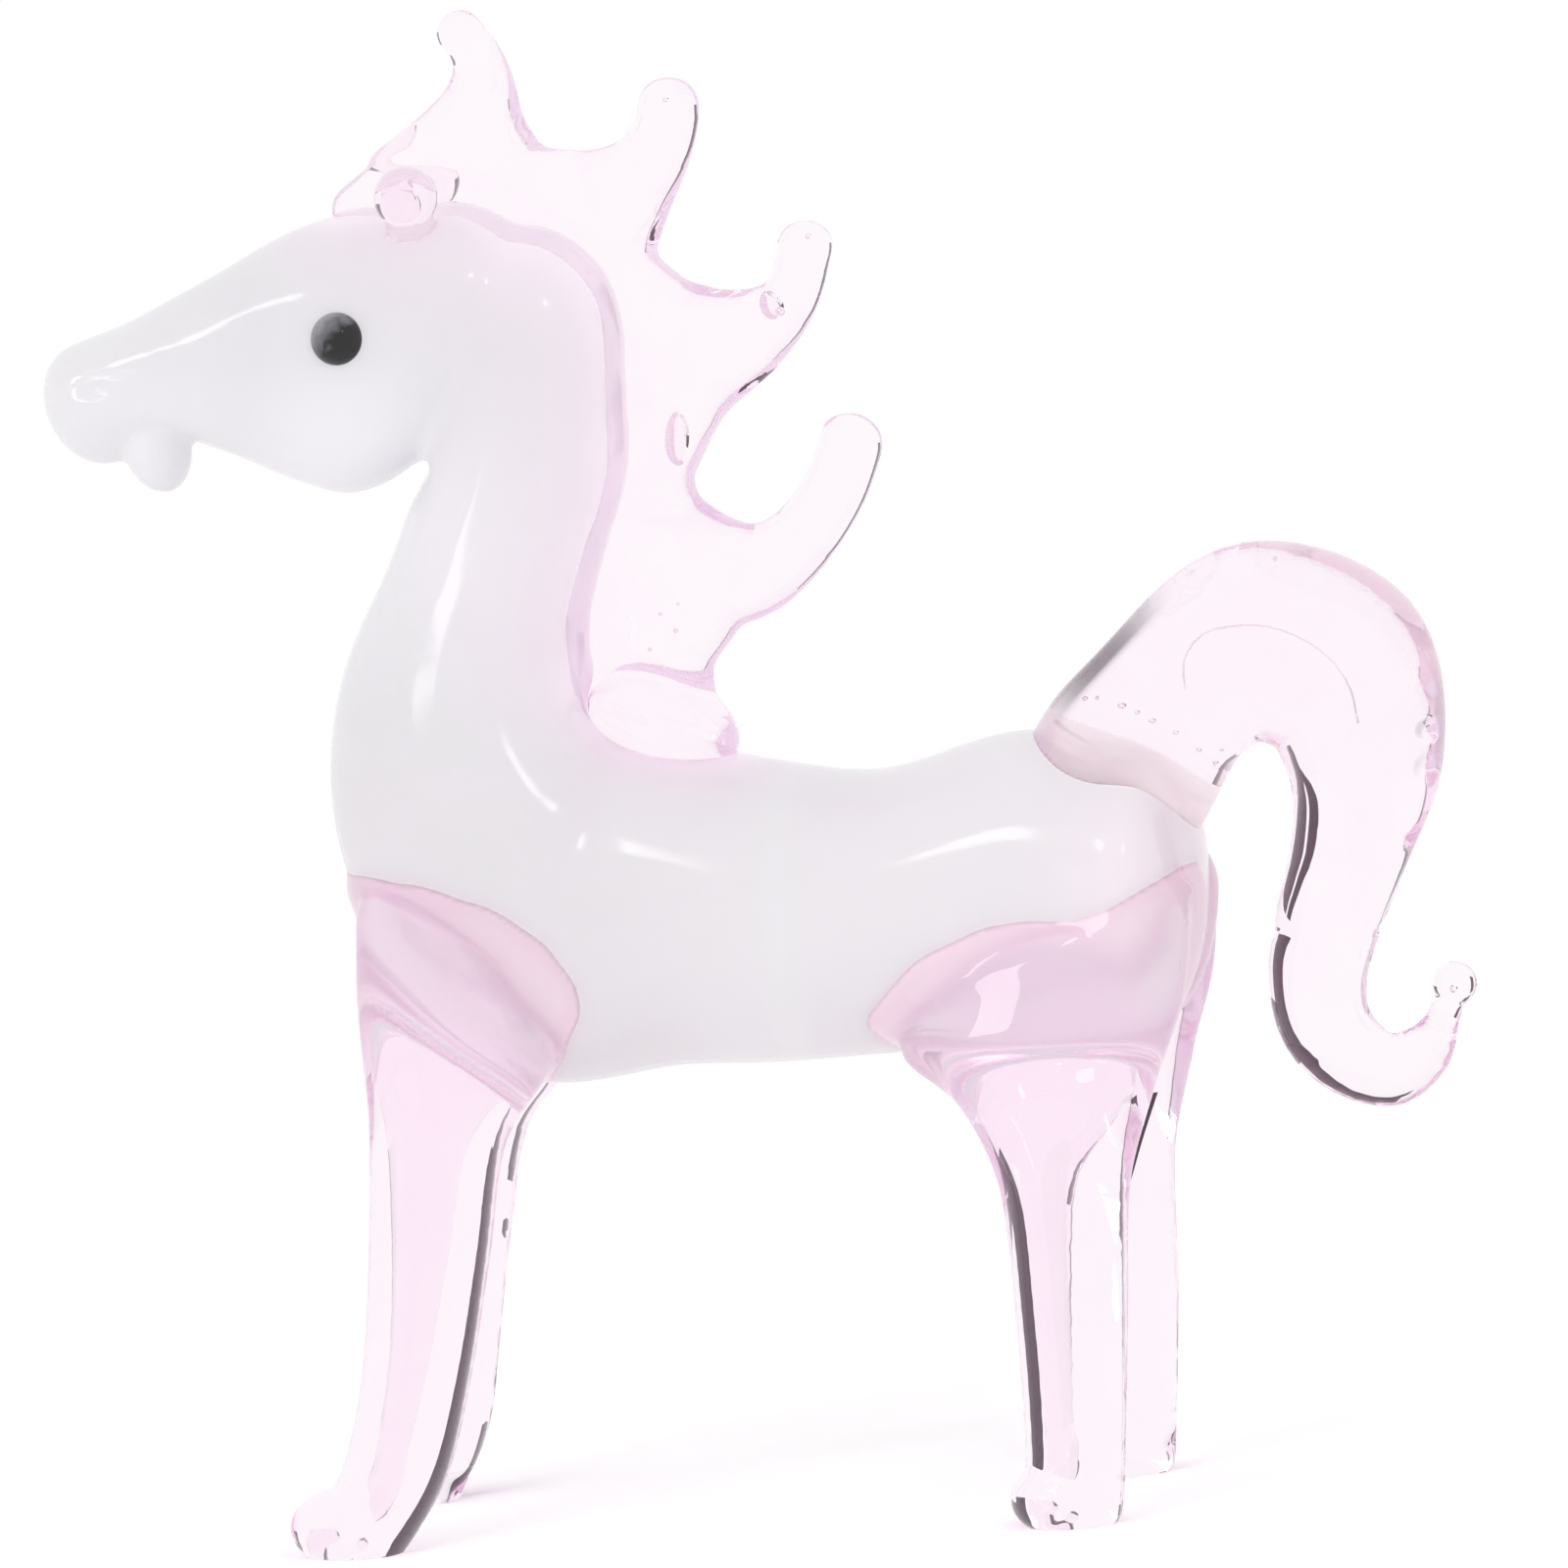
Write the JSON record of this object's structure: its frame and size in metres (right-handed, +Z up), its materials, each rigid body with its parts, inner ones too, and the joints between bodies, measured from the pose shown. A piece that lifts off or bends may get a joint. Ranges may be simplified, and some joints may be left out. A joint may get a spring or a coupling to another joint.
{
  "type": "glass horse figurine",
  "caption": "Standing horse ornament worked in the flame from glass: opal white body, neck and head, clear pink legs, combed mane, ears and curled tail, black dot eyes.",
  "frame": {"origin": "centre of the bounding box at the soles", "axes": "+Z up, -X towards the muzzle, -Y towards the horse's left side"},
  "size_m": [0.064, 0.0188, 0.0692],
  "materials": {
    "opal_glass": "fire-polished opal white glass, glossy, slightly translucent at thin edges",
    "pink_glass": "fire-polished clear pale pink glass with a few air bubbles",
    "black_glass": "fire-polished black glass"
  },
  "bodies": {
    "root": {"body": "opal_glass", "head": "opal_glass", "lower_lip": "opal_glass", "eye_left": "black_glass", "eye_right": "black_glass", "ear_left": "pink_glass", "ear_right": "pink_glass", "forelock": "pink_glass", "mane_lock_poll": "pink_glass", "mane_lock_crest": "pink_glass", "mane_lock_withers": "pink_glass", "mane_base": "pink_glass", "foreleg_left": "pink_glass", "foreleg_right": "pink_glass", "hind_leg_left": "pink_glass", "hind_leg_right": "pink_glass", "tail_root": "pink_glass", "tail_arch": "pink_glass", "tail_curl": "pink_glass"}
  },
  "joints": []
}
